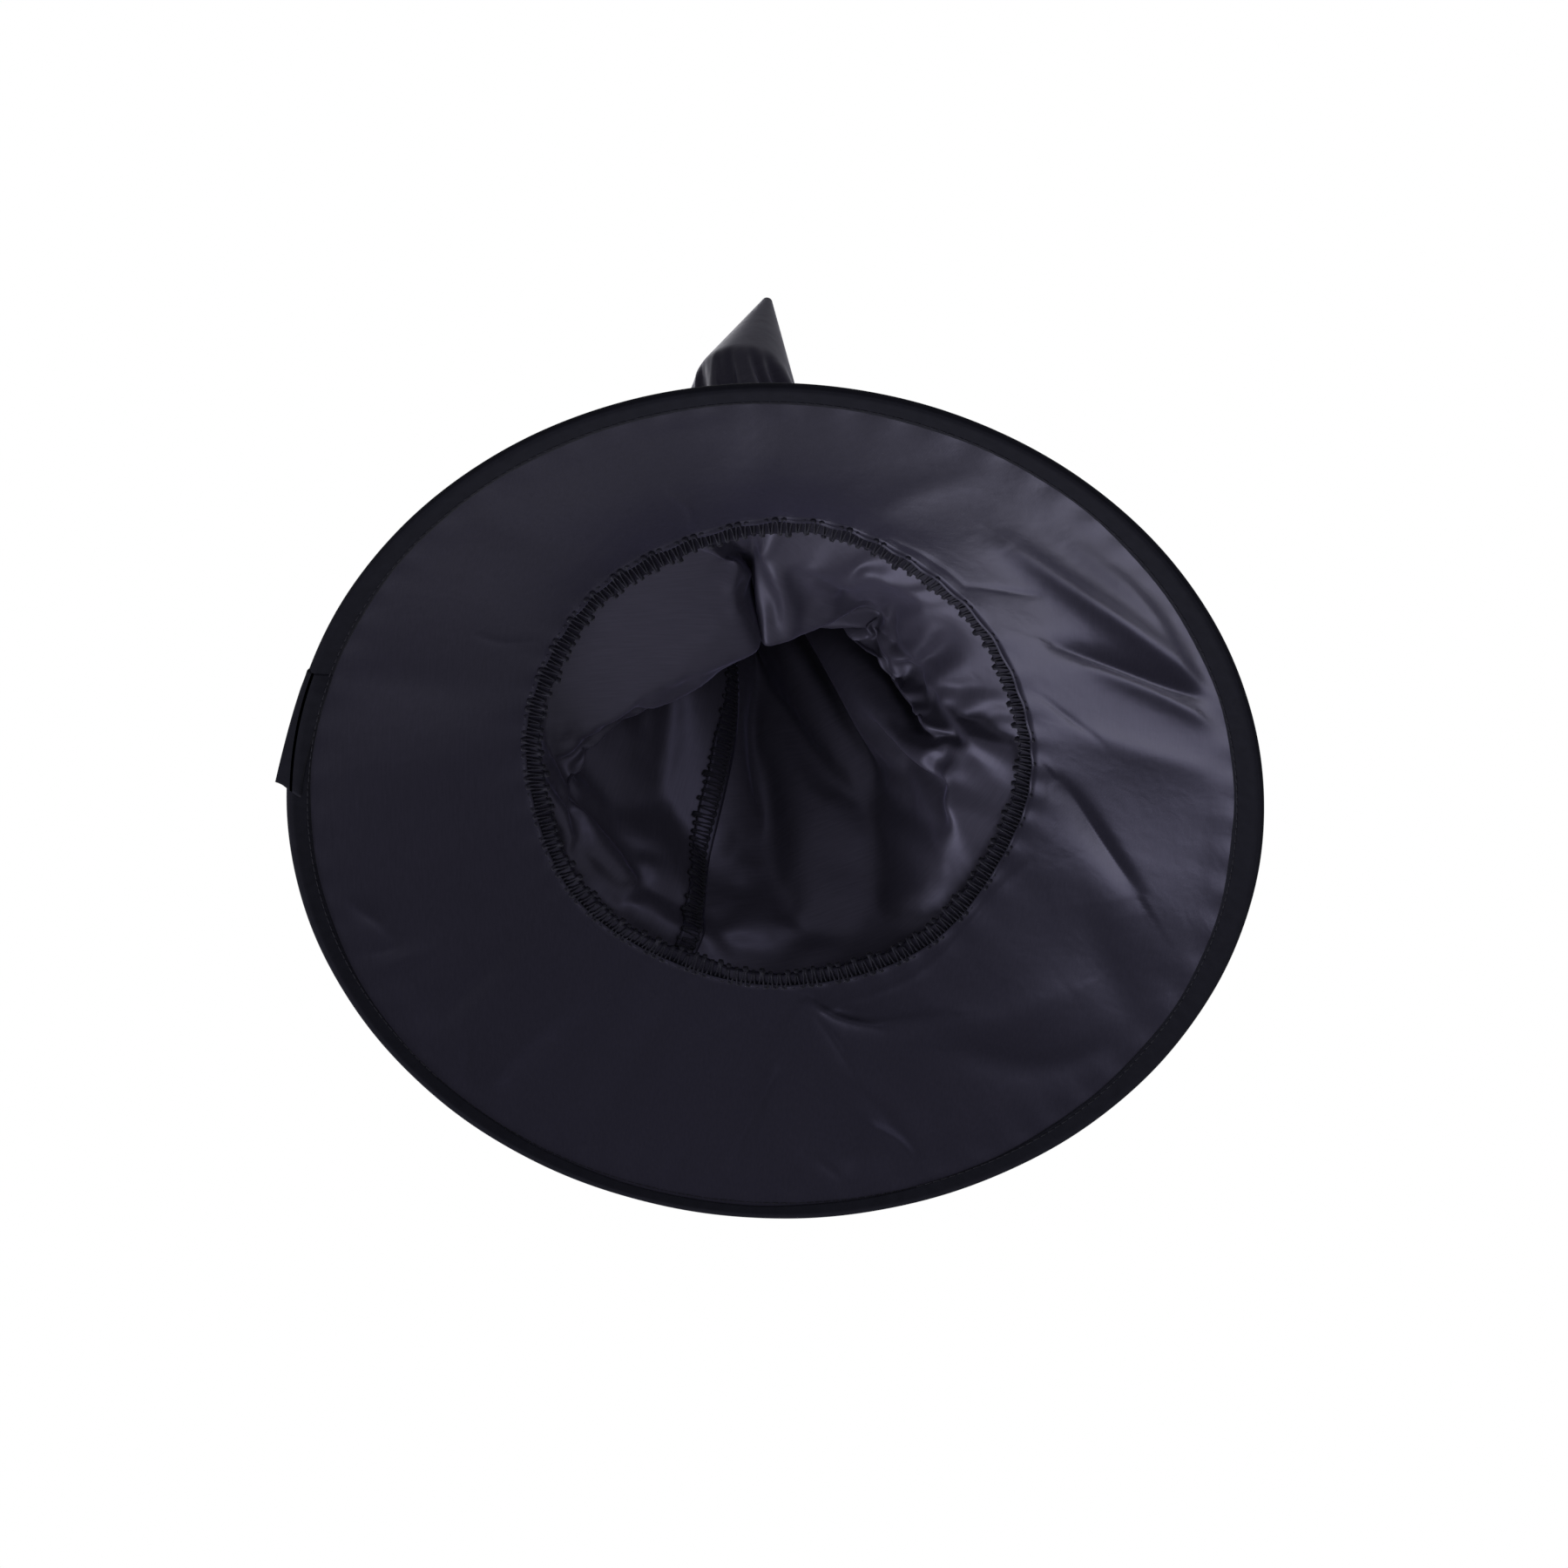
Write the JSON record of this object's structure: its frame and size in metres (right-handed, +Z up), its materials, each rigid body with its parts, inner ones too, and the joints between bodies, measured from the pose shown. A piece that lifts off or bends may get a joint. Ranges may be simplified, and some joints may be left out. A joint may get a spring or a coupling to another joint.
{
  "type": "witch hat",
  "caption": "Pointed cloth costume hat with a tall slouching cone, a wide sloping brim stiffened by a wire hoop in its bound rim, and an overlocked head opening.",
  "frame": {"origin": "centre of the rim's circle, on the surface that the hat stands on", "axes": "+Z up through the crown, -Y the front, towards which the point slumps, +X the wearer's left"},
  "size_m": [0.3805, 0.38, 0.335],
  "materials": {
    "satin": "black polyester satin with a cool sheen",
    "interlining": "matte non-woven stiffener, dark grey",
    "binding_tape": "matte black folded binding tape",
    "sewing_thread": "black polyester sewing thread",
    "overlock_thread": "black textured overlock thread",
    "spring_steel": "bright drawn spring-steel wire",
    "sleeve_steel": "plated crimp sleeve"
  },
  "bodies": {
    "brim_and_crown_base": {"brim_under_cloth": "satin", "brim_stiffener": "interlining", "brim_top_cloth": "satin", "rim_hoop_wire": "spring_steel", "hoop_joining_sleeve": "sleeve_steel", "rim_binding": "binding_tape", "binding_end_lap": "binding_tape", "binding_stitching": "sewing_thread", "head_seam_allowance": "satin", "head_seam_overlock": "overlock_thread", "head_seam_lockstitch": "sewing_thread", "crown_base": "satin", "crown_base_seam_allowance": "satin", "crown_base_seam_overlock": "overlock_thread", "crown_lower_fold": "satin"},
    "crown_middle": {"crown_middle": "satin", "crown_middle_seam_allowance": "satin", "crown_middle_seam_overlock": "overlock_thread", "crown_upper_fold": "satin"},
    "crown_point": {"crown_tip": "satin", "crown_tip_seam_allowance": "satin", "crown_tip_seam_overlock": "overlock_thread", "crown_tip_backtack": "sewing_thread"}
  },
  "joints": [
    {"name": "crown_flop", "type": "hinge", "parent": "brim_and_crown_base", "child": "crown_middle", "pos_m": [0, -0.01587, 0.185], "axis": [1, 0, 0], "range_deg": [-55, 55], "deforming": ["crown_lower_fold"]},
    {"name": "point_droop", "type": "hinge", "parent": "crown_middle", "child": "crown_point", "pos_m": [0, -0.03161, 0.262], "axis": [1, 0, 0], "range_deg": [-60, 60], "deforming": ["crown_upper_fold"]}
  ]
}
